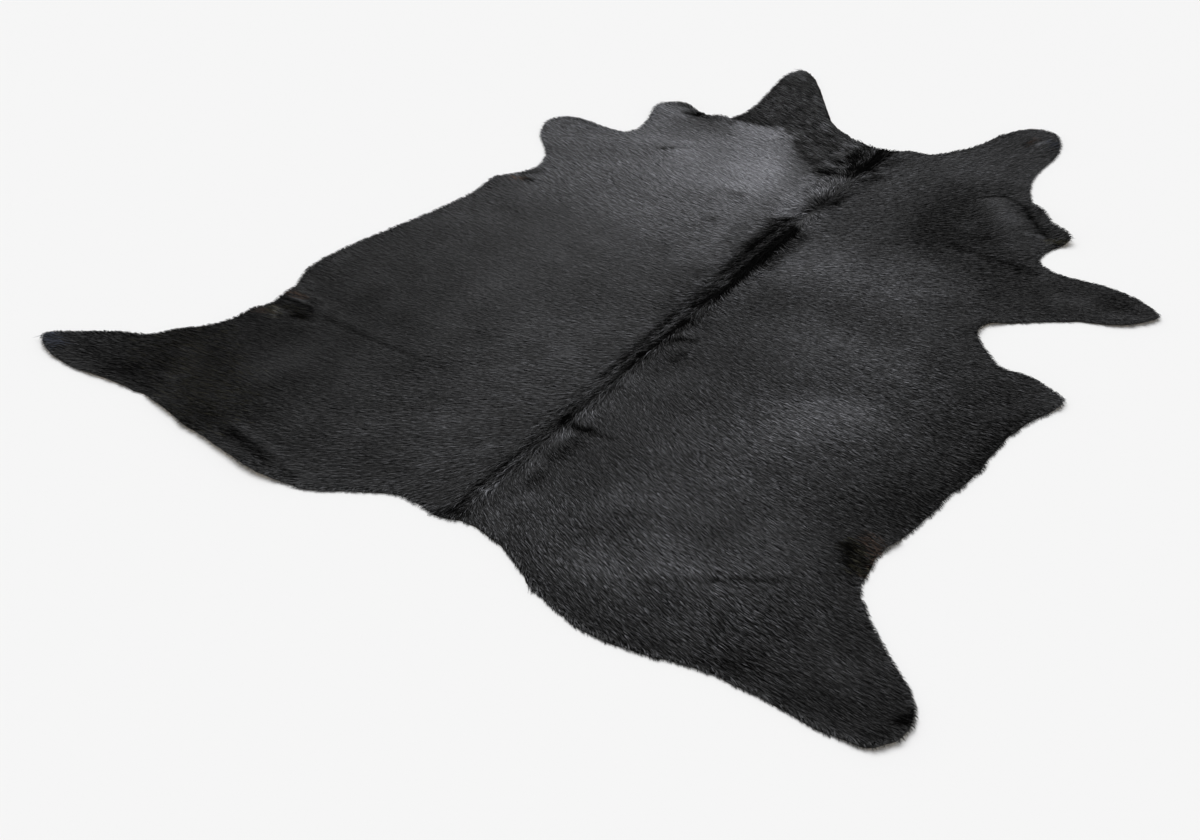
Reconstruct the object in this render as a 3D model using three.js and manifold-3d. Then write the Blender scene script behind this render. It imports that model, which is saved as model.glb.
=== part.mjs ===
// A hair-on cowhide rug: one hide with its pile, lying flat on the floor. Millimetres, +Z up.
// +Y runs along the spine from the tail to the neck, and the origin is under the middle of the hide's box.
import * as THREE from "three";
import { mergeVertices } from "three/addons/utils/BufferGeometryUtils.js";
import Module from "manifold-3d";

const wasm = await Module();
wasm.setup();

// Driving dimensions
const leatherThickness = 2.5;
const pileDepth = 3.5; // of the hair lying flat on the leather
const pileUnevenness = 0.5;
const unevenLength = { across: 310, along: 270 };
const restingDip = 0.4; // folds lower than this rest on the floor
const hairColour = 0x2c2c2f;
const hairRoughness = 0.7;

// How finely the hide is worked out: its edge, its grid, and the closer grid lines at some folds
const edgeStep = 14;
const gridPitch = 42;
const closePitch = 20;
const leastPitch = 14;

// Room around and below the hide for the blocks that it is cut with
const cutMargin = 30;
const cutDepth = 50;

// The outline, clockwise from the tail root. Each row is a place on the edge, measured from the tail root:
// across the spine, with the hide's right side positive, and along it towards the neck.
const leftRumpAndHindLeg = [
  { across: 2, along: -13 },
  { across: -26, along: -21 },
  { across: -70, along: -10 },
  { across: -130, along: -12 },
  { across: -212, along: -55 },
  { across: -300, along: -101 },
  { across: -395, along: -121 },
  { across: -530, along: -103 },
  { across: -702, along: -72 },
  { across: -805, along: -54 },
  { across: -980, along: -69 },
  { across: -1068, along: -56 },
  { across: -1112, along: -25 },
  { across: -1087, along: 8 },
  { across: -995, along: 79 },
  { across: -926, along: 111 },
  { across: -886, along: 165 },
  { across: -847, along: 210 },
];
const leftFlankAndBelly = [
  { across: -815, along: 286 },
  { across: -803, along: 344 },
  { across: -792, along: 400 },
  { across: -832, along: 513 },
  { across: -823, along: 627 },
  { across: -788, along: 778 },
  { across: -757, along: 906 },
  { across: -742, along: 1012 },
  { across: -744, along: 1088 },
  { across: -713, along: 1132 },
];
const leftForeleg = [
  { across: -689, along: 1208 },
  { across: -716, along: 1279 },
  { across: -776, along: 1340 },
  { across: -808, along: 1392 },
  { across: -810, along: 1424 },
  { across: -792, along: 1460 },
  { across: -745, along: 1482 },
  { across: -615, along: 1490 },
];
const leftCheek = [
  { across: -597, along: 1518 },
  { across: -600, along: 1577 },
  { across: -619, along: 1636 },
  { across: -613, along: 1671 },
  { across: -589, along: 1690 },
  { across: -549, along: 1697 },
  { across: -499, along: 1689 },
  { across: -466, along: 1684 },
  { across: -447, along: 1699 },
  { across: -418, along: 1706 },
];
const leftNeckLobe = [
  { across: -410, along: 1738 },
  { across: -409, along: 1829 },
  { across: -424, along: 1937 },
  { across: -431, along: 2022 },
  { across: -416, along: 2066 },
  { across: -396, along: 2078 },
  { across: -361, along: 2062 },
  { across: -298, along: 1990 },
  { across: -236, along: 1908 },
  { across: -187, along: 1846 },
];
const neckCut = [
  { across: -111, along: 1799 },
  { across: -50, along: 1780 },
  { across: 5, along: 1776 },
  { across: 48, along: 1810 },
  { across: 106, along: 1828 },
];
const rightNeckLobe = [
  { across: 151, along: 1886 },
  { across: 188, along: 1957 },
  { across: 205, along: 2021 },
  { across: 243, along: 2077 },
  { across: 273, along: 2104 },
  { across: 302, along: 2111 },
  { across: 332, along: 2104 },
  { across: 360, along: 2066 },
  { across: 374, along: 2000 },
  { across: 370, along: 1878 },
  { across: 384, along: 1805 },
];
const rightCheek = [
  { across: 430, along: 1719 },
  { across: 462, along: 1699 },
  { across: 504, along: 1653 },
  { across: 539, along: 1634 },
  { across: 576, along: 1596 },
  { across: 552, along: 1559 },
  { across: 539, along: 1522 },
];
const rightForeleg = [
  { across: 556, along: 1472 },
  { across: 605, along: 1456 },
  { across: 700, along: 1466 },
  { across: 782, along: 1455 },
  { across: 829, along: 1428 },
  { across: 855, along: 1403 },
  { across: 830, along: 1357 },
  { across: 786, along: 1320 },
  { across: 702, along: 1289 },
  { across: 613, along: 1223 },
  { across: 549, along: 1165 },
];
const rightBellyAndFlank = [
  { across: 546, along: 1128 },
  { across: 599, along: 1067 },
  { across: 651, along: 1027 },
  { across: 690, along: 1030 },
  { across: 763, along: 1007 },
  { across: 800, along: 991 },
  { across: 799, along: 963 },
  { across: 765, along: 878 },
  { across: 753, along: 700 },
  { across: 732, along: 530 },
  { across: 714, along: 389 },
  { across: 705, along: 325 },
];
const rightHindLegAndRump = [
  { across: 721, along: 248 },
  { across: 756, along: 198 },
  { across: 850, along: 112 },
  { across: 906, along: 65 },
  { across: 937, along: 3 },
  { across: 932, along: -46 },
  { across: 905, along: -83 },
  { across: 840, along: -91 },
  { across: 665, along: -80 },
  { across: 510, along: -102 },
  { across: 394, along: -116 },
  { across: 298, along: -104 },
  { across: 202, along: -65 },
  { across: 112, along: -20 },
  { across: 62, along: -3 },
  { across: 28, along: -1 },
];
const edgePlaces = [
  ...leftRumpAndHindLeg, ...leftFlankAndBelly, ...leftForeleg, ...leftCheek, ...leftNeckLobe, ...neckCut,
  ...rightNeckLobe, ...rightCheek, ...rightForeleg, ...rightBellyAndFlank, ...rightHindLegAndRump,
];

// Folds and curled edges, where the whole hide leaves the floor. Each runs from one place to another, both
// written across and along as above, fades out at its reach, and has one rise at its start and one at its end.
const lifts = [
  { fold: "left rear edge", from: [-740, -88], to: [-390, -138], reach: 72, rise: [7, 10] },
  { fold: "left rump swell", from: [-640, 50], to: [-430, 15], reach: 95, rise: [5, 4] },
  { fold: "left hind tip", from: [-1115, -25], to: [-1070, -40], reach: 95, rise: [8, 5] },
  { fold: "left shank wave", from: [-900, -60], to: [-850, 120], reach: 90, rise: [4, 6] },
  { fold: "left flank hem", from: [-800, 300], to: [-720, 312], reach: 40, rise: [8, 3] },
  { fold: "left flank lip", from: [-820, 398], to: [-700, 392], reach: 40, rise: [11, 12] },
  { fold: "left armpit lip", from: [-745, 1108], to: [-690, 1130], reach: 42, rise: [10, 6] },
  { fold: "left foreleg tip", from: [-820, 1425], to: [-765, 1480], reach: 80, rise: [9, 6] },
  { fold: "left shoulder wrinkle", from: [-520, 1455], to: [-420, 1520], reach: 46, rise: [4, 3] },
  { fold: "left cheek swell", from: [-632, 1652], to: [-585, 1688], reach: 80, rise: [12, 12] },
  { fold: "left cheek curl", from: [-555, 1716], to: [-472, 1704], reach: 44, rise: [18, 20] },
  { fold: "left cheek bump", from: [-445, 1712], to: [-416, 1718], reach: 42, rise: [10, 8] },
  { fold: "left neck lobe tip", from: [-430, 2045], to: [-392, 2082], reach: 85, rise: [5, 5] },
  { fold: "right neck lobe tip", from: [268, 2075], to: [328, 2090], reach: 80, rise: [6, 6] },
  { fold: "right cheek swell", from: [366, 1662], to: [446, 1596], reach: 80, rise: [18, 14] },
  { fold: "right cheek flap", from: [455, 1718], to: [590, 1606], reach: 46, rise: [15, 19] },
  { fold: "right foreleg end", from: [800, 1335], to: [868, 1400], reach: 78, rise: [4, 6] },
  { fold: "right armpit wrinkle", from: [490, 1125], to: [556, 1158], reach: 44, rise: [3, 10] },
  { fold: "right belly point", from: [690, 1045], to: [812, 997], reach: 62, rise: [9, 8] },
  { fold: "right belly swell", from: [400, 640], to: [520, 720], reach: 150, rise: [4, 3] },
  { fold: "right flank lip", from: [650, 385], to: [725, 392], reach: 40, rise: [5, 6] },
  { fold: "right rump swell", from: [330, 60], to: [590, 150], reach: 120, rise: [4, 4] },
  { fold: "right hind toe", from: [930, -60], to: [950, 10], reach: 80, rise: [7, 5] },
];

// Crests and creases of the pile alone: the hair stands along the spine and lies low in two old packing folds.
const spine = 0;
const loinFold = 372;
const shoulderFold = 1452;
const pileLines = [
  { line: "tail crest", from: [spine, 0], to: [spine, 320], reach: 34, rise: [3, 2] },
  { line: "back crest", from: [spine, 390], to: [spine, 1010], reach: 30, rise: [2, 3] },
  { line: "withers crest", from: [-15, 1040], to: [-10, 1350], reach: 60, rise: [5, 5] },
  { line: "neck crest", from: [spine, 1650], to: [spine, 1790], reach: 62, rise: [4, 5] },
  { line: "left loin fold", from: [-680, loinFold], to: [-30, loinFold], reach: 26, rise: [-2, -1] },
  { line: "right loin fold", from: [30, loinFold], to: [650, loinFold], reach: 26, rise: [-2, -1] },
  { line: "shoulder fold", from: [250, shoulderFold], to: [570, shoulderFold], reach: 34, rise: [-1, -2] },
  { line: "right cheek crease", from: [410, 1698], to: [520, 1602], reach: 30, rise: [-3, -3] },
  { line: "right cheek arc", from: [310, 1698], to: [372, 1722], reach: 30, rise: [-2, -2] },
  { line: "left cheek trough", from: [-545, 1667], to: [-470, 1673], reach: 30, rise: [-2, -3] },
];

// Where the folds are close together, so are the lines on which the hide's height is worked out.
const closeColumns = [
  { place: "left cheek", from: -630, to: -420 },
  { place: "spine", from: spine - closePitch, to: spine + closePitch },
  { place: "right cheek", from: 400, to: 600 },
];
const closeRows = [
  { place: "flanks and loin fold", from: 296, to: 416 },
  { place: "shoulder fold", from: shoulderFold - closePitch, to: shoulderFold + closePitch },
  { place: "cheeks", from: 1580, to: 1740 },
];

// How far a row of either table rises at a place: fully on its line, fading softly to nothing at its reach.
function riseAt(row, place) {
  const start = new THREE.Vector2(...row.from);
  const run = new THREE.Vector2(...row.to).sub(start);
  const offset = place.clone().sub(start);
  const share = THREE.MathUtils.clamp(offset.dot(run) / run.lengthSq(), 0, 1);
  const distance = offset.distanceTo(run.multiplyScalar(share));
  const fade = Math.max(0, 1 - (distance / row.reach) ** 2);
  return THREE.MathUtils.lerp(...row.rise, share) * fade * fade;
}

function totalRise(rows, place) {
  return rows.reduce((total, row) => total + riseAt(row, place), 0);
}

// The pile is a little uneven all over, in low waves.
function thicknessAt(place) {
  const acrossTurn = 2 * Math.PI * place.x / unevenLength.across;
  const alongTurn = 2 * Math.PI * place.y / unevenLength.along;
  const wave = pileUnevenness * Math.sin(acrossTurn) * Math.cos(alongTurn);
  return leatherThickness + pileDepth + wave + totalRise(pileLines, place);
}

function evenLines(from, to, pitch) {
  const count = Math.round((to - from) / pitch);
  return Array.from({ length: count + 1 }, (_, index) => from + (to - from) * index / count);
}

// Lines from one end to the other, closer together within the named spans.
function gridLines(start, end, spans) {
  const isApart = (line, span) => line < span.from - leastPitch || line > span.to + leastPitch;
  const wide = evenLines(start, end, gridPitch).filter((line) => spans.every((span) => isApart(line, span)));
  const close = spans.flatMap((span) => evenLines(span.from, span.to, closePitch));
  return [...wide, ...close].sort((first, second) => first - second);
}

function asManifold(geometry) {
  geometry.deleteAttribute("normal");
  geometry.deleteAttribute("uv");
  const merged = mergeVertices(geometry);
  return new wasm.Manifold(new wasm.Mesh({
    numProp: 3,
    vertProperties: new Float32Array(merged.attributes.position.array),
    triVerts: new Uint32Array(merged.index.array),
  }));
}

function asGeometry(manifold) {
  const mesh = manifold.getMesh();
  const geometry = new THREE.BufferGeometry();
  geometry.setAttribute("position", new THREE.BufferAttribute(mesh.vertProperties, 3));
  geometry.setIndex(new THREE.BufferAttribute(mesh.triVerts, 1));
  geometry.computeVertexNormals();
  return geometry;
}

// The cut edge as one smooth closed curve through its places.
function edgeOutline() {
  const places = edgePlaces.map((place) => new THREE.Vector3(place.across, place.along, 0));
  const curve = new THREE.CatmullRomCurve3(places, true, "centripetal");
  const steps = Math.round(curve.getLength() / edgeStep);
  return curve.getSpacedPoints(steps).slice(0, -1).map((point) => new THREE.Vector2(point.x, point.y));
}

// A block larger than the hide, from below the floor up to a given height at each place.
function raisedBlock(box, heightAt) {
  const columns = gridLines(box.min.x - cutMargin, box.max.x + cutMargin, closeColumns);
  const rows = gridLines(box.min.y - cutMargin, box.max.y + cutMargin, closeRows);
  const across = columns.length - 1;
  const along = rows.length - 1;
  const block = new THREE.BoxGeometry(across, along, 1, across, along, 1);
  const places = block.attributes.position;
  for (let index = 0; index < places.count; index += 1) {
    const column = Math.round(places.getX(index) + across / 2);
    const row = Math.round(places.getY(index) + along / 2);
    const place = new THREE.Vector2(columns[column], rows[row]);
    const isTop = places.getZ(index) > 0;
    places.setXYZ(index, place.x, place.y, isTop ? heightAt(place) : -cutDepth);
  }
  return asManifold(block);
}

// A tall block with the outline's shape, which trims the hide to its cut edge.
function edgeBlock(outline) {
  const settings = { depth: 4 * cutDepth, bevelEnabled: false };
  const block = new THREE.ExtrudeGeometry(new THREE.Shape(outline), settings);
  block.translate(0, 0, -cutDepth / 2);
  return asManifold(block);
}

// What lies below the hide: the floor, and the hollows under its folds.
function floorBlock(box) {
  const size = box.getSize(new THREE.Vector2()).addScalar(4 * cutMargin);
  const middle = box.getCenter(new THREE.Vector2());
  const floor = new THREE.BoxGeometry(size.x, size.y, 2 * cutDepth);
  floor.translate(middle.x, middle.y, -cutDepth);
  return asManifold(floor).add(raisedBlock(box, (place) => totalRise(lifts, place) - restingDip));
}

function makeCowhide() {
  const outline = edgeOutline();
  const box = new THREE.Box2().setFromPoints(outline);
  const middle = box.getCenter(new THREE.Vector2());
  const hair = new THREE.MeshStandardMaterial({ color: hairColour, roughness: hairRoughness, metalness: 0 });
  const upper = raisedBlock(box, (place) => totalRise(lifts, place) + thicknessAt(place));
  const hide = upper.intersect(edgeBlock(outline)).subtract(floorBlock(box));
  const cowhide = new THREE.Mesh(asGeometry(hide), hair);
  cowhide.name = "cowhide";
  cowhide.position.set(-middle.x, -middle.y, 0);
  return cowhide;
}

const rug = new THREE.Group();
rug.add(makeCowhide());

export default rug;
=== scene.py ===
import math
import bmesh
import bpy
import numpy as np
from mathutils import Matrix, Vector
from mathutils.bvhtree import BVHTree
from mathutils.geometry import delaunay_2d_cdt
from mathutils.kdtree import KDTree


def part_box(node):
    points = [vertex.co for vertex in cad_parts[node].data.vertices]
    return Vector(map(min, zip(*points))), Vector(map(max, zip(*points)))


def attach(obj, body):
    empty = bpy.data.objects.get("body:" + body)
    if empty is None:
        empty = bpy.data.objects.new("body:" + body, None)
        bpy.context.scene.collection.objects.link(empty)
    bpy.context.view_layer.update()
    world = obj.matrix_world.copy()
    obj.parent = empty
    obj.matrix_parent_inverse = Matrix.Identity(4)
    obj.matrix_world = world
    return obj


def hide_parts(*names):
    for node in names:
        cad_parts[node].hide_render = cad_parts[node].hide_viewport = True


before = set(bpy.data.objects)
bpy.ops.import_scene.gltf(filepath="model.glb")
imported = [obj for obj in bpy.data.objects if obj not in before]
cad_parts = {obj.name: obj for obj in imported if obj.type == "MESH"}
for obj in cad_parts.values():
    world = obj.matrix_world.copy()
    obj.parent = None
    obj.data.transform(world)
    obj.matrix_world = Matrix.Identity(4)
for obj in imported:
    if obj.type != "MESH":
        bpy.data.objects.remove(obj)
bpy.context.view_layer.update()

bpy.ops.object.select_all(action="DESELECT")
print("frame loaded")

# All places on the hide are in millimetres from the tail root: across the spine, with the right side
# positive, and along it. Sizes are in metres. Lumps of unevenness have an amount, a size and a seed each.
hide = {
    "spineX": 0.0868,  # the spine runs along the frame here
    "tailY": -0.9948,  # and the tail root lies here
    "hairOver": 0.0018,  # the lying hair reaches this far past the leather's cut edge
    "pile": 0.0032,  # depth of the lying hair on the leather
    "thinnest": 0.0018,  # the leather in its creases
    "rimStep": 0.007,
    "rimSmooth": 4,
    "rimLumps": [(0.0010, 0.03, 31), (0.0010, 0.012, 32)],
    "pointPitch": 0.020,  # between the sheet's inner points
    "bentPitch": 0.009,  # the same on folds and creases
    "bend": 0.0003,  # what counts as a fold, in height over twice that pitch
    "rimRoom": 0.7,  # of that pitch, left free inside the rim
    "merge": 1e-6,
}

# Camera

camera = {
    "place": (1.6628, -2.8178, 2.0),
    "heading": (-0.565, 0.825),
    "degreesDown": 36.5,
    "lens": 50,
    "sensor": 36,
    "farEnd": 60,
}


def setCamera():
    bpy.ops.object.camera_add(location=camera["place"])
    eye = bpy.context.object
    eye.name = "camera"
    eye.data.lens = camera["lens"]
    eye.data.sensor_fit = "HORIZONTAL"
    eye.data.sensor_width = camera["sensor"]
    down = math.radians(camera["degreesDown"])
    level = Vector((*camera["heading"], 0)).normalized() * math.cos(down)
    look = level + Vector((0, 0, -math.sin(down)))
    eye.rotation_euler = look.to_track_quat("-Z", "Y").to_euler()
    eye.data.clip_end = camera["farEnd"]
    bpy.context.scene.camera = eye


setCamera()
print("camera set")


# Measuring helpers for the hide

def table(columns, rows):  # each row as a dictionary under the columns' names
    return [dict(zip(columns.split(), row)) for row in rows]


def spot(place):  # a place on the hide, in the frame's metres
    return hide["spineX"] + place[0] / 1000, hide["tailY"] + place[1] / 1000


def onHide(x, y):  # and back: across and along, in millimetres
    return (x - hide["spineX"]) * 1000, (y - hide["tailY"]) * 1000


def nearness(x, y, row):
    # 1 on a row's line, falling softly to 0 at its reach, and the share of the way along the line
    ax, ay = spot(row["from"])
    bx, by = spot(row["to"])
    runX, runY = bx - ax, by - ay
    share = np.clip(((x - ax) * runX + (y - ay) * runY) / (runX**2 + runY**2), 0, 1)
    start, end = np.broadcast_to(row["reach"], 2) / 1000  # one reach, or one for each end
    gap = np.hypot(x - ax - share * runX, y - ay - share * runY) / (start + (end - start) * share)
    return np.clip(1 - gap**2, 0, 1) ** 2, share


def added(column, x, y, rows):  # what all the rows of a table add up to at each place
    return sum(nearness(x, y, row)[0] * row[column] for row in rows)


def eased(share):
    return share * share * (3 - 2 * share)


def mottle(x, y, size, seed):  # smooth unevenness from -1 to 1, in lumps of about this size
    cells = 256
    lattice = np.random.default_rng(seed).uniform(-1, 1, (cells, cells))
    u, v = x / size + cells / 2, y / size + cells / 2
    i, j = np.floor(u).astype(int), np.floor(v).astype(int)
    f, g = eased(u - i), eased(v - j)
    i, j, iNext, jNext = i % cells, j % cells, (i + 1) % cells, (j + 1) % cells
    low = lattice[i, j] * (1 - f) + lattice[iNext, j] * f
    high = lattice[i, jNext] * (1 - f) + lattice[iNext, jNext] * f
    return low * (1 - g) + high * g


def lumpy(lumps, x, y):
    return sum(amount * mottle(x, y, size, seed) for amount, size, seed in lumps)


# The hide's form, read from its solid as a field of heights

field = {
    "pitch": 0.004,
    "margin": 0.05,  # of the field around the hide
    "smoothing": 5,  # passes that take the flat faces out
    "rayHeight": 0.5,
    "wallSlope": 0.3,  # faces steeper than this are the cut wall
}

# Creases finer than the solid's folds: where they run, how wide they reach and how far they rise
# at their start and their end, in millimetres
field["creases"] = table("crease from to reach rise", [
    ("left loin line", (-690, 366), (-40, 372), 13, (-2.2, -1.2)),
    ("left loin ridge", (-690, 386), (-40, 390), 18, (1.4, 0.8)),
    ("right loin line", (36, 360), (110, 364), 16, (-3.0, -1.6)),
    ("right loin trace", (110, 366), (640, 380), 13, (-1.6, -1.0)),
    ("left wrinkle", (-500, 1458), (-446, 1492), 14, (-1.6, -2.2)),
    ("left wrinkle ridge", (-504, 1484), (-436, 1534), 16, (2.0, 1.4)),
    ("left cheek trough", (-544, 1668), (-464, 1694), 16, (-3.0, -4.0)),
    ("right cheek crease", (420, 1690), (450, 1650), 15, (-2.4, -2.4)),
    ("right cheek hem", (450, 1650), (520, 1598), 15, (-2.4, -3.4)),
    ("right cheek arc", (305, 1684), (352, 1727), 16, (-2.0, -2.2)),
    ("right cheek arc end", (352, 1727), (420, 1690), 16, (-2.2, -2.4)),
    ("left rear trough", (-660, -36), (-390, -77), (18, 26), (-0.8, -3.0)),
    ("left pocket floor", (-745, 350), (-692, 354), 26, (-3.0, -3.0)),
    ("rump fold", (340, 4), (470, 100), 14, (-0.3, -0.8)),
    ("rump fold end", (470, 100), (615, 205), 15, (-0.9, -0.5)),
    ("armpit wrinkle", (509, 1110), (549, 1161), 18, (-2.0, -2.0)),
])

# Where the hide ends a little inside the solid's edge, in millimetres
field["trims"] = table("trim from to reach inset", [
    ("left hind end", (-770, -62), (-665, -83), 35, 5),
    ("left hind foot", (-585, -97), (-525, -108), 30, 5),
    ("left hind rear", (-480, -113), (-335, -116), 50, 6),
    ("left rump", (-215, -68), (-125, -20), 30, 4),
    ("tail root", (-25, -24), (14, -14), 22, 5),
    ("right rump", (115, -24), (188, -60), 33, 6),
    ("right rump rear", (258, -92), (315, -108), 28, 4),
    ("right hind rear", (540, -103), (612, -90), 38, 7),
    ("right hind tip", (845, -96), (885, -95), 25, 4),
    ("right hind toe", (914, -82), (927, -66), 20, 4),
    ("right hind inside", (718, 264), (730, 234), 22, 4),
    ("right flank", (714, 344), (717, 372), 30, 5),
    ("right flank front", (739, 560), (743, 582), 26, 5),
    ("right belly", (755, 725), (760, 810), 35, 6),
    ("right foreleg", (725, 1284), (850, 1370), 35, 5),
    ("right cheek", (548, 1490), (566, 1588), 27, 7),
])


def inset(x, y):  # metres that the hide's edge lies inside the solid's
    return added("inset", x, y, field["trims"]) / 1000


def readSolid():  # a merged copy of the solid's mesh
    copy = bmesh.new()
    copy.from_mesh(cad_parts["cowhide"].data)
    bmesh.ops.remove_doubles(copy, verts=copy.verts, dist=hide["merge"])
    copy.normal_update()
    return copy


def edgeLoop(solid):  # the corners where the solid's upper face meets its cut wall, in order
    beside = {}
    for edge in solid.edges:
        slopes = sorted(face.normal.z for face in edge.link_faces)
        if len(slopes) == 2 and abs(slopes[0]) < field["wallSlope"] < slopes[1]:
            a, b = edge.verts
            beside.setdefault(a, []).append(b)
            beside.setdefault(b, []).append(a)
    first = next(iter(beside))
    loop = [first, beside[first][0]]
    while True:
        ahead = [v for v in beside[loop[-1]] if v is not loop[-2]]
        if not ahead or ahead[0] is first:
            break
        loop.append(ahead[0])
    return np.array([v.co[:2] for v in loop])


def evenLoop(loop):  # the same loop at an even step, its corners softened, counter-clockwise
    closed = np.vstack([loop, loop[:1]])
    run = np.concatenate([[0], np.cumsum(np.hypot(*np.diff(closed, axis=0).T))])
    steps = np.linspace(0, run[-1], int(run[-1] / hide["rimStep"]), endpoint=False)
    even = np.column_stack([np.interp(steps, run, closed[:, k]) for k in (0, 1)])
    for _ in range(hide["rimSmooth"]):
        even = (np.roll(even, 1, 0) + 2 * even + np.roll(even, -1, 0)) / 4
    turn = np.sum(even[:, 0] * np.roll(even[:, 1], -1) - np.roll(even[:, 0], -1) * even[:, 1])
    return even if turn > 0 else even[::-1].copy()


def outward(loop):  # the level way out of a counter-clockwise loop at each of its points
    along = np.roll(loop, -1, 0) - np.roll(loop, 1, 0)
    along /= np.hypot(*along.T)[:, None]
    return np.column_stack([along[:, 1], -along[:, 0]])


def neighbours(padded):  # of each cell of a grid that was padded by one
    return np.stack([padded[2:, 1:-1], padded[:-2, 1:-1], padded[1:-1, 2:], padded[1:-1, :-2]])


def fillOutside(grid):  # spreads the rim's heights past the edge
    while np.isnan(grid).any():
        around = neighbours(np.pad(grid, 1, constant_values=np.nan))
        count = np.sum(~np.isnan(around), axis=0)
        mean = np.nansum(around, axis=0) / np.maximum(count, 1)
        grid = np.where(np.isnan(grid) & (count > 0), mean, grid)
    return grid


def soften(grid):
    for _ in range(field["smoothing"]):
        grid = (np.sum(neighbours(np.pad(grid, 1, mode="edge")), axis=0) + 2 * grid) / 6
    return grid


def castHeights(tree, xs, ys):  # the solid's upper and under side, where there is any
    upper = np.full((len(xs), len(ys)), np.nan)
    under = upper.copy()
    high = field["rayHeight"]
    for i, x in enumerate(xs):
        for j, y in enumerate(ys):
            hit = tree.ray_cast((x, y, high), (0, 0, -1))[0]
            if hit is not None:
                upper[i, j] = hit.z
                under[i, j] = tree.ray_cast((x, y, -high), (0, 0, 1))[0].z
    return upper, under


def rimGap(loop, xs, ys):  # distance from the loop
    rim = KDTree(len(loop))
    for k, (x, y) in enumerate(loop):
        rim.insert((x, y, 0), k)
    rim.balance()
    return np.array([[rim.find((x, y, 0))[2] for y in ys] for x in xs])


def measureHide():
    solid = readSolid()
    loop = evenLoop(edgeLoop(solid))
    tree = BVHTree.FromBMesh(solid)
    solid.free()
    low, high = (np.array(corner)[:2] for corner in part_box("cowhide"))
    low, high = low - field["margin"], high + field["margin"]
    xs = np.arange(low[0], high[0], field["pitch"])
    ys = np.arange(low[1], high[1], field["pitch"])
    gridX, gridY = np.meshgrid(xs, ys, indexing="ij")
    upper, under = castHeights(tree, xs, ys)
    gap = rimGap(loop, xs, ys)
    field["corner"] = low
    # distance inside the hair's outline
    field["edgeGap"] = np.where(np.isnan(upper), -gap, gap) - inset(gridX, gridY)
    skin = soften(fillOutside(upper)) - hide["pile"]
    for row in field["creases"]:
        near, share = nearness(gridX, gridY, row)
        start, end = row["rise"]
        skin += near * (start + (end - start) * share) / 1000
    field["under"] = soften(fillOutside(under))
    field["skin"] = np.maximum(skin, field["under"] + hide["thinnest"])
    return loop - outward(loop) * inset(*loop.T)[:, None]


def sample(name, x, y):  # a field's value at any places, those past its ends taken as on them
    grid = field[name]
    endX, endY = (cells - 1.001 for cells in grid.shape)  # just short of the last cell
    u = np.clip((x - field["corner"][0]) / field["pitch"], 0, endX)
    v = np.clip((y - field["corner"][1]) / field["pitch"], 0, endY)
    i, j = u.astype(int), v.astype(int)
    f, g = u - i, v - j
    low = grid[i, j] * (1 - f) + grid[i + 1, j] * f
    high = grid[i, j + 1] * (1 - f) + grid[i + 1, j + 1] * f
    return low * (1 - g) + high * g


def onSkin(level):  # places on the leather's hair side
    return np.column_stack([level, sample("skin", *level.T)])


def skinUp(x, y):  # the way out of the skin
    step = field["pitch"]
    slopeX = (sample("skin", x + step, y) - sample("skin", x - step, y)) / (2 * step)
    slopeY = (sample("skin", x, y + step) - sample("skin", x, y - step)) / (2 * step)
    up = np.column_stack([-slopeX, -slopeY, np.ones_like(x)])
    return up / np.linalg.norm(up, axis=1)[:, None]


def evenPlaces(pitch):  # staggered rows of places over the hide's box
    low, high = hairEdge.min(0), hairEdge.max(0)
    rows = np.arange(low[1], high[1], pitch * math.sqrt(0.75))
    xs = np.arange(low[0], high[0], pitch)
    shift = pitch / 2 * (np.arange(len(rows)) % 2)
    return np.column_stack([(xs[None] + shift[:, None]).ravel(), np.repeat(rows, len(xs))])


hairEdge = measureHide()
print("hide measured:", len(hairEdge), "rim points")


# How the hair lies

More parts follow.
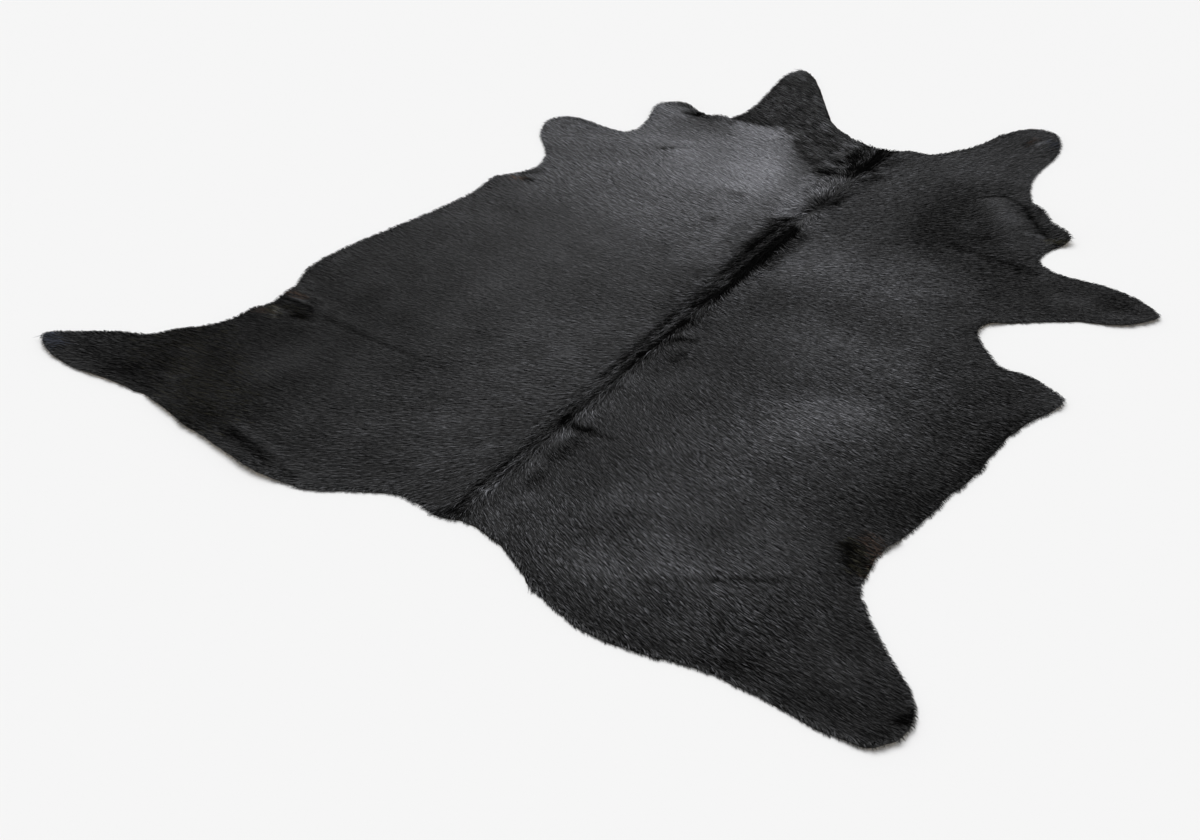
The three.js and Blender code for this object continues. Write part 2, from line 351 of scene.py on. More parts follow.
flow = {
    "soft": 120,  # guides closer than this share a place evenly
    "fade": 1.5,  # how fast a guide gives way to others
    "tufts": [(0.10, 0.045, 11), (0.05, 0.015, 12)],  # radians that they stray from the guides
    "ridgeReach": {"left": 34, "right": 15},  # beside the spine the hair still lies along it
    "ridgePull": 2.2,
    "whorl": (1360, 1480),  # behind here it lies towards the tail, and past here towards the neck
}
flow["guides"] = table("at points", [
    ((-1070, -25), (-0.86, -0.51)),
    ((-950, 40), (-0.96, -0.28)),
    ((-600, 150), (-0.97, -0.26)),
    ((-250, 100), (-0.80, -0.60)),
    ((-60, 60), (-0.35, -0.94)),
    ((-60, 500), (-0.75, -0.66)),
    ((-200, 500), (-0.93, -0.36)),
    ((-600, 600), (-0.98, -0.20)),
    ((-600, 950), (-1.00, -0.05)),
    ((-250, 950), (-0.97, -0.20)),
    ((-60, 1150), (-0.92, -0.40)),
    ((-220, 1220), (-1.00, -0.05)),
    ((-420, 1340), (-0.96, 0.28)),
    ((-230, 1480), (-0.95, 0.32)),
    ((-650, 1250), (-0.98, 0.18)),
    ((-770, 1410), (-1.00, 0.06)),
    ((-500, 1600), (-0.99, -0.10)),
    ((-300, 1690), (-1.00, 0.06)),
    ((-370, 1950), (-0.98, 0.18)),
    ((-60, 1620), (-0.95, -0.30)),
    ((-90, 1750), (-0.97, 0.24)),
    ((60, 60), (0.84, -0.54)),
    ((60, 500), (0.80, -0.60)),
    ((350, 80), (0.91, -0.42)),
    ((820, 0), (0.98, -0.22)),
    ((200, 700), (0.93, -0.36)),
    ((500, 700), (0.99, -0.17)),
    ((650, 400), (0.97, -0.25)),
    ((750, 1010), (0.99, -0.10)),
    ((250, 1000), (1.00, -0.05)),
    ((450, 1150), (0.98, 0.15)),
    ((100, 1250), (0.90, 0.20)),
    ((300, 1450), (0.86, 0.51)),
    ((600, 1350), (0.97, 0.20)),
    ((850, 1380), (1.00, 0.00)),
    ((450, 1680), (0.72, 0.69)),
    ((100, 1660), (0.73, 0.68)),
    ((300, 1980), (0.57, 0.82)),
])


def hairWay(x, y):  # the heading of the hair, root to tip
    across, along = onHide(x, y)
    wayX, wayY = np.zeros_like(x), np.zeros_like(x)
    for guide in flow["guides"]:
        atX, atY = guide["at"]
        sameSide = across * atX > 0
        gap = (across - atX) ** 2 + (along - atY) ** 2 + flow["soft"] ** 2
        weight = sameSide / gap ** flow["fade"]
        wayX += weight * guide["points"][0]
        wayY += weight * guide["points"][1]
    size = np.hypot(wayX, wayY)
    behind, ahead = flow["whorl"]
    spineWay = np.clip(2 * (along - behind) / (ahead - behind) - 1, -1, 1)
    reach = np.where(across < 0, flow["ridgeReach"]["left"], flow["ridgeReach"]["right"])
    pull = flow["ridgePull"] * np.exp(-((across / reach) ** 2))
    return np.arctan2(wayY / size + pull * spineWay, wayX / size) + lumpy(flow["tufts"], x, y)


def levelWay(heading):
    return np.column_stack([np.cos(heading), np.sin(heading)])


# How light the hair looks: its own tone with painted shade and painted sheen. Tones run from 0, the black of
# the back's crest, partly painted shade where the hair parts, to 1, the palest painted sheen of the bloom

tones = {
    "plain": 0.349,
    "blackest": 0.02,
    "lumps": [(0.027, 0.06, 23), (0.027, 0.18, 24)],
    "tuft": 0.005,  # how far one tuft differs from the next
    "tuftSize": (0.0035, 0.024),  # its width and length
    "tuftSteps": 7,
    "tuftSeed": 25,
    "strand": 0.13,  # how far one lock differs from the others in its small square
    "square": 0.009,
    "sink": 0.16,  # the darker locks stand out more than the lighter ones
    "sparkle": 0.30,  # tufts and locks differ more where the hair is light, most in the painted sheen
    "calm": 0.4,  # the share of a lock's difference that is left in black hair
}

# Lighter and darker patches, each around a line: partly the hair's own tone, partly painted shade in
# creases, hollows, folds and along the spine's parting, and painted sheen and highlights on the bloom,
# ridges and lips
tones["patches"] = table("patch from to reach tone", [
    # the bloom on the left shoulder, a painted sheen
    ("left shoulder", (-600, 1310), (-130, 1220), 380, 0.12),
    ("shoulder bloom", (-450, 1480), (-190, 1400), 280, 0.11),
    ("shoulder shine", (-330, 1690), (-200, 1480), 150, 0.24),
    ("shoulder core", (-260, 1690), (-190, 1540), 70, 0.08),
    ("shoulder middle", (-440, 1570), (-330, 1400), 110, 0.1),
    ("shoulder spine side", (-75, 1540), (-55, 1350), 50, 0.12),
    ("shoulder rim", (-420, 1700), (-300, 1690), 60, 0.08),
    ("bloom spot 1", (-190, 1222), (-184, 1228), 24, -0.15),
    ("bloom spot 2", (-200, 1366), (-192, 1370), 22, -0.14),
    ("bloom dip", (-270, 1440), (-250, 1450), 50, -0.06),
    ("left ribs", (-310, 1130), (-290, 1130), 110, 0.05),
    # left foreleg and cheek
    ("left foreleg", (-790, 1430), (-580, 1620), 200, 0.07),
    ("left foreleg edge", (-730, 1300), (-600, 1390), 80, -0.05),
    ("left foreleg light", (-650, 1345), (-630, 1365), 60, 0.04),
    ("left elbow light", (-642, 1170), (-630, 1200), 40, 0.05),
    # painted shade in the armpit's pucker and a painted highlight on its lip
    ("left armpit", (-676, 1128), (-654, 1139), 13, -0.25),
    ("left armpit lip", (-698, 1120), (-684, 1126), 10, 0.06),
    ("left armpit rim", (-694, 1150), (-668, 1186), 18, -0.18),
    ("left armpit glint", (-703, 1132), (-698, 1135), 4, 0.3),
    ("left cheek base", (-440, 1640), (-480, 1560), 70, -0.05),
    ("left cheek foot", (-550, 1492), (-535, 1496), 50, 0.06),
    ("left cheek", (-605, 1640), (-556, 1662), 50, 0.17),
    # painted shade in the cheek's trough and under its rolled rim
    ("left cheek trough", (-540, 1668), (-500, 1677), 10, -0.3),
    ("left cheek trough end", (-500, 1677), (-460, 1697), 10, -0.3),
    ("left cheek rim", (-575, 1700), (-480, 1708), 20, -0.1),
    ("left cheek side", (-572, 1570), (-566, 1600), 40, 0.05),
    # painted shade in the wrinkle and painted light on its ridge
    ("left wrinkle", (-498, 1457), (-474, 1467), 9, -0.1),
    ("left wrinkle core", (-479, 1465), (-458, 1485), 9, -0.28),
    ("left wrinkle ridge", (-504, 1484), (-436, 1534), 14, 0.08),
    ("left wrinkle foot", (-446, 1468), (-404, 1500), 16, 0.06),
    # left side and flank
    ("left side", (-500, 1050), (-160, 560), 300, 0.06),
    ("left side middle", (-460, 720), (-430, 960), 110, 0.04),
    ("left flank", (-820, 250), (-800, 620), 340, -0.08),
    ("left flank light", (-740, 620), (-690, 900), 140, 0.035),
    ("left loin", (-560, 420), (-380, 330), 240, -0.05),
    ("left loin light", (-440, 385), (-430, 480), 90, 0.035),
    ("left loin spine side", (-330, 520), (-120, 520), 130, -0.025),
    # painted shade in the loin's crease
    ("left loin line", (-655, 373), (-380, 367), 10, -0.07),
    ("left loin line end", (-380, 367), (-220, 364), (9, 6), -0.02),
    ("left back light", (-150, 505), (-142, 560), 50, 0.05),
    # painted shade in the pocket's fold and hollow and a painted highlight on its lip
    ("left pocket line", (-800, 372), (-766, 378), 8, -0.13),
    ("left pocket line end", (-756, 378), (-700, 376), 8, -0.13),
    ("left pocket hollow", (-742, 354), (-694, 356), (18, 22), -0.09),
    ("left pocket floor", (-722, 343), (-700, 348), 15, -0.06),
    ("left pocket front", (-742, 325), (-714, 339), 16, -0.08),
    ("left pocket foot", (-690, 318), (-660, 342), 22, 0.05),
    ("left pocket brow", (-726, 397), (-705, 406), 16, -0.06),
    ("left pocket shade", (-782, 362), (-756, 356), 14, -0.07),
    ("left pocket lip", (-766, 387), (-726, 386), 8, 0.16),
    ("left pocket glint 1", (-782, 345), (-766, 339), 5, 0.22),
    ("left pocket glint 2", (-768, 330), (-758, 324), 5, 0.2),
    ("left pocket glint 3", (-758, 314), (-746, 308), 5, 0.18),
    # left hind leg and rump
    ("left hind leg", (-1100, -20), (-600, 40), 360, -0.085),
    ("left hind tip", (-1098, -24), (-1080, -22), 46, 0.06),
    ("left hind light", (-805, 104), (-770, 60), 50, 0.05),
    ("left hind glint", (-795, 24), (-765, 19), 14, 0.08),
    ("left hind spot", (-790, -20), (-770, -36), 40, -0.05),
    ("left hind spot 2", (-880, -20), (-850, -15), 45, -0.04),
    ("left shank", (-980, 20), (-800, 120), 130, -0.05),
    ("left shank rear", (-1010, -40), (-960, -46), 40, 0.05),
    ("left shank light", (-800, 140), (-750, 190), 60, 0.04),
    ("left thigh light", (-630, 130), (-600, 290), 80, 0.05),
    ("left thigh foot", (-460, 15), (-440, 25), 60, 0.035),
    # painted shade in the rear trough and along the rim, and painted light on the ridge inside it
    ("left rear trough", (-640, -34), (-592, -40), 44, -0.05),
    ("left rear trough middle", (-540, -46), (-400, -76), (20, 27), -0.115),
    ("left rear trough end", (-372, -80), (-330, -80), (24, 14), -0.07),
    ("left rear ridge", (-548, -18), (-400, -42), (12, 18), 0.08),
    ("left rear rim", (-710, -58), (-590, -86), 20, -0.06),
    ("left rear rim 2", (-455, -102), (-330, -102), 30, -0.05),
    ("left rump foot", (-155, 15), (-145, 25), 50, 0.04),
    ("left rump", (-300, 10), (-240, 30), 120, -0.06),
    ("left rump spine side", (-180, 230), (-90, 110), 110, 0.04),
    ("left tail side", (-88, 190), (-80, 215), 25, 0.05),
    # right hind leg and rump
    ("right tail side", (55, 45), (98, 12), 25, 0.07),
    ("right tail spot", (20, 152), (48, 142), 25, 0.06),
    ("right rump shade 2", (220, 110), (430, 50), 70, -0.035),
    ("right rump shade", (280, 170), (420, 190), 90, -0.04),
    ("right rump", (300, 10), (430, 150), 110, 0.07),
    ("right rump dip", (430, 10), (520, 50), 75, -0.04),
    # painted shade in the rump's fold
    ("right rump fold", (300, -25), (400, 50), 15, -0.04),
    ("right rump fold middle", (400, 50), (490, 118), 15, -0.06),
    ("right rump fold end", (490, 118), (610, 202), 16, -0.1),
    ("right rump light", (324, 162), (350, 176), 60, 0.05),
    ("right thigh light", (480, 270), (505, 284), 60, 0.05),
    ("right rear edge", (130, -30), (480, -100), 90, -0.06),
    ("right hind end", (900, -46), (912, -38), 28, -0.05),
    ("right hind streak", (562, -69), (640, -33), 26, -0.06),
    ("right hind leg", (950, -40), (680, -20), 240, -0.08),
    ("right shank light", (706, 118), (774, 45), 45, 0.04),
    ("right leg hollow", (760, 170), (690, 250), 120, -0.07),
    ("right toe", (918, -2), (930, 20), 28, -0.18),
    # right side and flank
    # painted shade in the flank's hollow and under its lip
    ("right flank hollow", (660, 336), (694, 302), 32, -0.16),
    ("right flank shade", (635, 336), (655, 302), 22, -0.085),
    ("right flank corner", (632, 341), (648, 338), 12, -0.07),
    ("right flank shade end", (668, 296), (690, 258), 16, -0.09),
    ("right flank streak", (668, 338), (690, 343), 6, 0.12),
    ("right flank lip", (688, 348), (702, 322), 18, -0.05),
    ("right loin", (300, 300), (320, 560), 170, 0.05),
    ("right belly shade", (330, 600), (390, 635), 60, -0.05),
    ("right belly shine", (390, 620), (450, 720), 120, 0.13),
    ("right belly edge", (760, 960), (690, 450), 190, -0.10),
    ("right belly side", (560, 1100), (520, 800), 130, -0.03),
    ("right belly point", (760, 990), (785, 980), 60, 0.10),
    ("right belly hem", (722, 560), (738, 700), 34, -0.06),
    ("right belly hem end", (742, 730), (752, 900), 40, -0.06),
    ("right ribs", (230, 920), (440, 900), 130, 0.07),
    ("right side dip", (430, 755), (450, 765), 50, -0.045),
    ("right elbow light", (725, 900), (738, 925), 40, 0.05),
    ("right armpit", (556, 1140), (560, 1170), 50, -0.06),
    # right shoulder, foreleg and neck
    ("right chest shade", (210, 1300), (400, 1220), 90, -0.035),
    ("right chest", (130, 1180), (330, 1230), 190, 0.11),
    ("right chest dip", (335, 1250), (350, 1255), 60, -0.04),
    ("right chest spine side", (70, 1230), (90, 1330), 70, -0.04),
    ("right shoulder spot", (395, 1500), (450, 1480), 50, -0.06),
    # painted shade in the shoulder's fold
    ("right shoulder fold", (350, 1442), (545, 1430), (26, 22), -0.1),
    ("right shoulder shade", (360, 1330), (490, 1420), 100, -0.05),
    ("right foreleg", (560, 1330), (870, 1390), 220, -0.07),
    ("right foreleg light", (640, 1352), (696, 1381), 46, 0.07),
    ("right foreleg dark", (730, 1388), (772, 1396), 52, -0.055),
    ("right foreleg sole", (770, 1362), (815, 1372), 26, 0.06),
    ("right cheek foot 2", (512, 1528), (520, 1568), 26, 0.07),
    ("right cheek foot", (486, 1560), (494, 1572), 30, 0.06),
    # painted light on the cheek's dome and ridge, painted shade in its arc, crease and hem
    ("right cheek dome", (352, 1662), (420, 1606), 56, 0.14),
    ("right cheek ridge", (462, 1572), (508, 1588), 13, 0.13),
    ("right cheek glint", (531, 1586), (540, 1567), 5, 0.12),
    ("right cheek tip", (540, 1572), (562, 1600), 18, -0.08),
    ("right cheek arc", (305, 1684), (352, 1727), 13, -0.11),
    ("right cheek arc end", (352, 1727), (420, 1690), 13, -0.12),
    ("right cheek crease", (420, 1690), (450, 1650), 12, -0.14),
    ("right cheek hem", (450, 1650), (514, 1598), 12, -0.15),
    ("right cheek edge", (440, 1660), (560, 1560), 110, -0.05),
    ("right neck dip", (220, 1560), (250, 1480), 50, -0.045),
    ("right neck shade", (300, 1470), (300, 1640), 180, -0.13),
    ("right neck", (130, 1620), (180, 1780), 130, 0.02),
    ("right neck side", (90, 1540), (110, 1500), 90, 0.03),
    ("right neck foot", (100, 1620), (150, 1590), 50, 0.035),
    ("right lobe foot", (320, 1855), (322, 1920), 50, -0.045),
    # painted shade and a painted highlight on the lobe's end
    ("right lobe tip", (350, 2050), (370, 1990), 36, -0.05),
    ("right lobe shade", (284, 2008), (294, 2040), 18, -0.06),
    ("right lobe shine", (312, 2030), (330, 2062), 10, 0.16),
    # along the spine, from the tail to the neck: the dark lines and bands are partly painted shade where the
    # hair parts and stands up
    ("tail root", (-26, -8), (2, 14), 26, -0.16),
    ("tail line", (-10, 14), (-19, 110), 11, -0.13),
    ("tail line end", (-19, 110), (-12, 335), 11, -0.13),
    ("tail shade", (-10, 20), (-8, 480), 40, -0.02),
    ("tail tuft 1", (22, 384), (26, 406), 26, 0.10),
    ("tail tuft 2", (18, 296), (24, 336), 22, 0.13),
    ("tail hollow 2", (50, 250), (58, 310), 32, -0.11),
    ("tail tuft 3", (30, 180), (26, 230), 22, 0.07),
    ("tail hollow 3", (56, 152), (60, 200), 26, -0.10),
    ("tail tuft 4", (2, 75), (6, 130), 24, 0.09),
    ("tail tuft 5", (70, 100), (84, 122), 26, 0.07),
    # painted shade in the loin's hollow where the hair parts
    ("loin blot", (-8, 345), (-8, 378), 16, -0.20),
    ("loin line", (-8, 378), (-4, 508), 16, -0.09),
    ("loin hollow", (0, 357), (50, 359), 18, -0.16),
    ("loin hollow middle", (28, 358), (52, 360), 28, -0.07),
    ("loin hollow end", (52, 360), (102, 365), 16, -0.09),
    ("back line end", (10, 785), (12, 818), 10, -0.1),
    ("back line", (-2, 522), (-6, 640), 15, -0.16),
    ("back upper line", (-26, 530), (-34, 830), 15, -0.17),
    ("back black line", (-4, 640), (2, 806), 13, -0.2),
    ("back shade", (0, 600), (4, 940), 40, -0.09),
    ("back hook", (18, 722), (34, 742), 14, -0.15),
    ("back hook end", (34, 742), (62, 757), 14, -0.19),
    ("back hook light", (24, 768), (44, 788), 13, 0.09),
    ("back hollow", (55, 662), (62, 690), 24, -0.09),
    ("back right side", (46, 610), (76, 700), 55, -0.06),
    ("back tuft dark", (16, 500), (18, 520), 18, -0.08),
    ("back tuft light", (22, 545), (26, 590), 20, 0.05),
    ("withers side light", (-146, 1085), (-140, 1200), 34, 0.05),
    ("withers side shade", (-92, 1160), (-98, 1285), 40, -0.07),
    ("withers ridge shade", (-30, 1130), (-27, 1285), 12, -0.12),
    ("withers flank shade", (-62, 1140), (-60, 1165), 18, -0.09),
    ("withers upper light", (-10, 1276), (-9, 1290), 8, 0.12),
    ("withers foot shade", (-40, 890), (-38, 965), 16, -0.08),
    ("withers foot line", (10, 890), (14, 1004), 12, -0.08),
    ("withers foot middle", (-16, 994), (-14, 1008), 12, -0.08),
    ("withers foot side", (-30, 990), (-32, 1012), 26, -0.13),
    ("withers foot flank", (-72, 995), (-70, 1010), 30, -0.06),
    ("withers left side", (-92, 1000), (-72, 850), 50, -0.05),
    ("withers start", (-20, 872), (-12, 960), 30, -0.2),
    ("withers line", (6, 925), (10, 1045), 14, -0.34),
    ("withers black", (8, 1025), (6, 1286), 24, -0.44),
    ("withers middle", (-6, 1010), (-8, 1300), 16, -0.12),
    ("withers shade", (-30, 1036), (-40, 1300), (24, 42), -0.3),
    ("withers underside", (32, 1110), (32, 1268), 36, -0.22),
    ("whorl 1", (-32, 1318), (-18, 1330), 15, -0.26),
    ("whorl 2", (-16, 1384), (-8, 1472), 17, -0.26),
    ("whorl 3", (8, 1398), (10, 1472), 13, -0.18),
    ("whorl 4", (26, 1456), (30, 1506), 14, -0.18),
    ("whorl 5", (-30, 1425), (-26, 1455), 16, -0.14),
    ("whorl 6", (22, 1420), (26, 1460), 18, -0.09),
    ("whorl 7", (8, 1490), (12, 1512), 14, -0.14),
    ("whorl light", (-38, 1490), (-34, 1530), 24, 0.12),
    ("neck side shade", (-165, 1652), (-145, 1640), 46, -0.06),
    ("neck base light", (-42, 1556), (-4, 1562), 20, 0.1),
    ("neck tuft 1", (-80, 1576), (-66, 1608), 26, -0.22),
    ("neck tuft 2", (-10, 1612), (4, 1655), 24, -0.28),
    ("neck tuft 3", (40, 1606), (52, 1638), 22, -0.2),
    ("neck tuft 4", (30, 1654), (32, 1664), 14, -0.12),
    ("neck tuft 5", (40, 1700), (56, 1750), 18, -0.1),
    ("neck tuft 6", (-62, 1586), (-22, 1600), 15, -0.2),
    ("neck tuft 7", (-28, 1630), (-20, 1652), 18, -0.26),
    ("neck tuft 8", (22, 1596), (24, 1606), 14, -0.1),
    ("neck crest", (4, 1656), (8, 1784), 32, -0.36),
    ("neck shade", (-42, 1672), (-46, 1776), (34, 28), -0.2),
])

# On the left half the bloom's painted sheen ends at this line, given along the spine for each place across
# it
tones["neckLine"] = {
    "across": (-410, -370, -330, -280, -230, -170, -100, -50, 0),
    "along": (1700, 1708, 1730, 1746, 1706, 1634, 1580, 1596, 1636),
    "soft": 22,
    "ragged": [(20, 0.04, 21), (12, 0.015, 22)],
    "tone": 0.27,  # past the line
    "lumps": [(0.07, 0.026, 26), (0.07, 0.011, 27)],
}
tones["neckLine"]["tufts"] = table("patch from to reach tone", [
    ("lobe base", (-290, 1870), (-260, 1850), 60, -0.06),
    ("lobe tip", (-410, 2040), (-390, 1960), 80, 0.03),
    ("lobe light", (-330, 1790), (-310, 1800), 40, 0.04),
    ("light 1", (-100, 1642), (-70, 1632), 15, 0.22),
    ("light 2", (-46, 1648), (-42, 1662), 15, 0.14),
    ("light 3", (-100, 1752), (-72, 1758), 20, 0.24),
    ("light 4", (-94, 1690), (-88, 1698), 14, 0.12),
    ("dark 1", (-76, 1644), (-72, 1656), 15, -0.12),
    ("dark 2", (-62, 1692), (-56, 1710), 18, -0.14),
    ("lobe end", (-412, 2056), (-400, 2030), 42, 0.09),
    ("lobe foot", (-200, 1830), (-185, 1790), 28, 0.09),
    ("lobe side", (-245, 1745), (-235, 1725), 40, 0.06),
])

# Where neighbouring locks differ more, or less, than elsewhere
tones["lively"] = table("patch from to reach more", [
    ("right rump", (250, 60), (560, 60), 260, 1.0),
    ("right loin", (200, 250), (260, 600), 170, 0.4),
    ("right hind", (700, 20), (880, -30), 150, -0.1),
    ("left shoulder", (-550, 1200), (-250, 1150), 200, 0.4),
    ("right belly", (420, 500), (520, 800), 280, 0.6),
    ("right chest", (250, 1150), (350, 1250), 220, 0.2),
    ("bloom", (-450, 1560), (-200, 1500), 200, -0.25),
    ("left neck", (-300, 1850), (-60, 1720), 200, 0.45),
    ("right foreleg", (600, 1340), (860, 1400), 160, -0.45),
    ("left side", (-700, 100), (-450, 950), 460, -0.64),
    ("rump fold", (400, 40), (615, 205), 18, -0.4),
    ("back hook", (24, 730), (62, 757), 20, -0.5),
    ("tail and back", (10, 20), (-10, 900), 90, 0.5),
    ("withers and neck", (-20, 900), (-20, 1780), 110, 0.7),
])

# The share of the locks that has a cast: brown and olive of their own, and the cold cast a painted bluish
# sheen
tones["tints"] = table("patch cast from to reach share", [
    ("left pocket end", "brown", (-800, 308), (-774, 318), 20, 0.95),
    ("left pocket lip", "brown", (-785, 398), (-750, 402), 22, 0.85),
    ("left pocket", "olive", (-782, 340), (-752, 312), 20, 0.8),
    ("left pocket hollow", "olive", (-760, 355), (-700, 352), 22, 0.6),
    ("right flank", "olive", (650, 345), (690, 300), 34, 0.9),
    ("right flank lip", "brown", (670, 372), (704, 350), 32, 0.85),
    ("right flank rim", "brown", (700, 345), (706, 285), 14, 0.8),
    ("left armpit", "brown", (-700, 1117), (-676, 1131), 13, 0.85),
    ("right lobe tip", "brown", (287, 2008), (298, 2050), 14, 0.4),
    # a painted bluish sheen on the lobe's end
    ("right lobe end", "cold", (338, 2064), (352, 2046), 22, 0.7),
    ("right cheek tip", "olive", (528, 1584), (556, 1588), 20, 0.9),
    ("left hind leg", "olive", (-840, 120), (-640, 0), 150, 0.4),
    # a painted bluish sheen on the lifted hind tip
    ("left hind tip", "cold", (-1104, -22), (-1066, -30), 40, 0.9),
])


# The hair's tone at each place, with the patches' painted shade and painted sheen, and the darker neck past
# the sheen's edge
def toneWithPaintedLight(x, y):
    lighter, darker = np.full_like(x, tones["plain"]), np.zeros_like(x)
    for row in tones["patches"]:
        change = nearness(x, y, row)[0] * row["tone"]
        lighter += np.maximum(change, 0)
        darker += np.minimum(change, 0)
    line = tones["neckLine"]
    across, along = onHide(x, y)
    past = along - np.interp(across, line["across"], line["along"]) + lumpy(line["ragged"], x, y)
    neck = eased(np.clip(past / line["soft"] + 0.5, 0, 1)) * (across < 0)
    neckTone = line["tone"] + lumpy(line["lumps"], x, y) + added("tone", x, y, line["tufts"])
    return lighter * (1 - neck) + neckTone * neck + darker + lumpy(tones["lumps"], x, y)


def tuftTone(x, y, heading):  # unevenness drawn out along the hair
    width, length = tones["tuftSize"]
    steps = np.linspace(-0.5, 0.5, tones["tuftSteps"]) * length
    wayX, wayY = levelWay(heading).T
    drawn = [mottle(x + step * wayX, y + step * wayY, width, tones["tuftSeed"]) for step in steps]
    return np.mean(drawn, axis=0) * math.sqrt(len(steps))


def balanced(values, x, y):  # less their own mean in each small square
    squares = np.floor(np.column_stack([x, y]) / tones["square"]).astype(int)
    at = np.unique(squares, axis=0, return_inverse=True)[1].ravel()
    return values - (np.bincount(at, values) / np.bincount(at))[at]


def tintShare(cast, x, y):
    rows = [row for row in tones["tints"] if row["cast"] == cast]
    return np.max([nearness(x, y, row)[0] * row["share"] for row in rows], axis=0)


# Materials

def newMaterial(name, roughness, specular):
    mat = bpy.data.materials.new(name)
    mat.use_nodes = True
    shader = mat.node_tree.nodes["Principled BSDF"]
    shader.inputs["Roughness"].default_value = roughness
    shader.inputs["Specular IOR Level"].default_value = specular
    return mat, shader


def ramp(nodes, stops):
    node = nodes.new("ShaderNodeValToRGB")
    band = node.color_ramp
    while len(band.elements) < len(stops):
        band.elements.new(1)
    for element, (position, colour) in zip(band.elements, stops):
        element.position = position
        element.color = (*colour, 1)
    return node


hairLook = {
    "greys": [  # each tone's own colour
        (0.00, (0.0008, 0.0008, 0.0008)),
        (0.13, (0.0016, 0.0016, 0.0016)),
        (0.20, (0.0070, 0.0070, 0.0071)),
        (0.30, (0.0345, 0.0346, 0.0352)),
        (0.40, (0.0760, 0.0765, 0.0790)),
        (0.50, (0.1330, 0.1342, 0.1420)),
        (0.60, (0.2030, 0.2056, 0.2210)),
        (0.78, (0.3700, 0.3752, 0.4050)),
        (0.95, (0.5600, 0.5680, 0.6130)),
    ],
    "greySpan": 0.74,  # a grey lies at its tone times this on the ramp, and the casts follow
    "casts": {
        "brown": {"from": 0.74, "to": 0.81, "over": (1.52, 1.00, 0.73)},
        "olive": {"from": 0.83, "to": 0.90, "over": (1.08, 1.00, 0.60)},
        # the cold cast is a painted bluish sheen
        "cold": {"from": 0.92, "to": 0.99, "over": (0.90, 1.00, 1.30)},
    },
    "castTones": (0.1, 0.2, 0.3, 0.4, 0.5),  # a cast's tones, dark to light
    "sliver": 0.003,  # half the stretch of the ramp that one lock takes
    "lengthwise": [(0.00, 0.50), (0.40, 0.88), (0.66, 1.22), (1.00, 0.92)],  # painted shade at the roots and a painted highlight along the middles
    "shown": 0.45,  # a lock has the tone of this place along it
    "rootShade": 0.8,  # of the hair's tone, as painted shade on the leather between the locks
    "dull": 0.17,  # locks darker than this hardly shine
    "black_hair": {"roughness": 0.46, "specular": 0.17},
    "dull_hair": {"roughness": 0.65, "specular": 0.03},
    "hair_roots": {"roughness": 0.8, "specular": 0.03},
}


def hairStops():
    stops = [(tone * hairLook["greySpan"], colour) for tone, colour in hairLook["greys"]]
    greyTones, greys = zip(*hairLook["greys"])
    castTones = hairLook["castTones"]
    for cast in hairLook["casts"].values():
        for place, tone in zip(np.linspace(cast["from"], cast["to"], len(castTones)), castTones):
            grey = [np.interp(tone, greyTones, channel) for channel in zip(*greys)]
            stops.append((place, tuple(np.multiply(grey, cast["over"]))))
    return stops


def hairMaterial(name):
    mat, shader = newMaterial(name, **hairLook[name])
    nodes, links = mat.node_tree.nodes, mat.node_tree.links
    place = nodes.new("ShaderNodeUVMap")
    place.uv_map = "OFBake"
    split = nodes.new("ShaderNodeSeparateXYZ")
    links.new(place.outputs["UV"], split.inputs[0])
    tint = ramp(nodes, hairStops())
    links.new(split.outputs["X"], tint.inputs["Fac"])
    # each lock darkens towards its root as painted shade and lightens along its middle as a painted
    # highlight
    fade = ramp(nodes, [(at, (light, light, light)) for at, light in hairLook["lengthwise"]])
    links.new(split.outputs["Y"], fade.inputs["Fac"])
    mix = nodes.new("ShaderNodeVectorMath")
    mix.operation = "MULTIPLY"
    links.new(tint.outputs["Color"], mix.inputs[0])
    links.new(fade.outputs["Color"], mix.inputs[1])
    links.new(mix.outputs["Vector"], shader.inputs["Base Color"])
    return mat


def rootMaterial(name):  # the leather's hair side, seen only between the locks, in the hair's tone darkened as painted shade
    mat, shader = newMaterial(name, **hairLook[name])
    nodes, links = mat.node_tree.nodes, mat.node_tree.links
    tone = nodes.new("ShaderNodeAttribute")
    tone.attribute_name = "tone"
    tint = ramp(nodes, hairStops())
    links.new(tone.outputs["Fac"], tint.inputs["Fac"])
    links.new(tint.outputs["Color"], shader.inputs["Base Color"])
    return mat


suede = {
    "flesh_side": {"dark": (0.34, 0.27, 0.19), "light": (0.56, 0.48, 0.37), "scale": 9, "bump": 0.35},
    # the cut edge is near-black as painted shade under the hair that hangs over it
    "painted_shade_cut_edge": {"dark": (0.010, 0.009, 0.008), "light": (0.040, 0.036, 0.031), "scale": 26, "bump": 0.5},
    "finish": {"roughness": 0.9, "specular": 0.2},
    "darkTo": 0.3,  # of the spots' mask
    "lightFrom": 0.7,
    "spots": {"Detail": 6, "Roughness": 0.65},
    "fibres": {"Detail": 4},
    "fibresFiner": 40,  # than the spots
    "fibreDepth": 0.0006,
}


def noise(nodes, settings):
    node = nodes.new("ShaderNodeTexNoise")
    for name, value in settings.items():
        node.inputs[name].default_value = value
    return node


